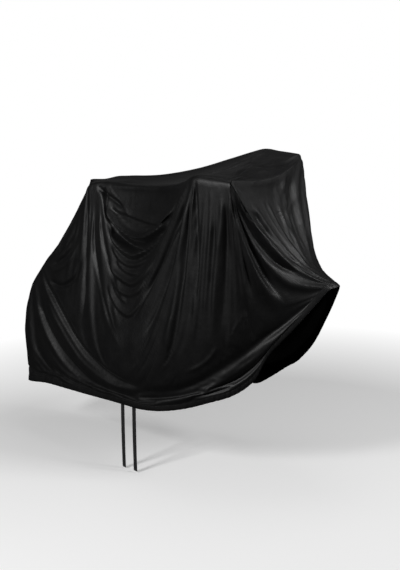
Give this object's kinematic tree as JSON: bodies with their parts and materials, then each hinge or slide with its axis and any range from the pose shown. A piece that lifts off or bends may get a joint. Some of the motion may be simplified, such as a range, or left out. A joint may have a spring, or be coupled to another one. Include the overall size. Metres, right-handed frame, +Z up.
{
  "type": "bicycle cover",
  "caption": "Hollow fitted cover of black coated cloth, tented as over a bicycle, its hem lifted at the front, with hanging ties.",
  "frame": {"origin": "the point just under the cover's top, midway between the two grips, where the handlebar stem carries it", "axes": "+X forward along the bicycle, +Y to its left-hand side, away from the ties, +Z up"},
  "size_m": [1.579, 0.6245, 1.3157],
  "materials": {
    "coated_cloth": "satin",
    "webbing": "matt"
  },
  "bodies": {
    "root": {"cover_body": "coated_cloth", "tie_rear": "webbing", "tie_front": "webbing"}
  },
  "joints": []
}
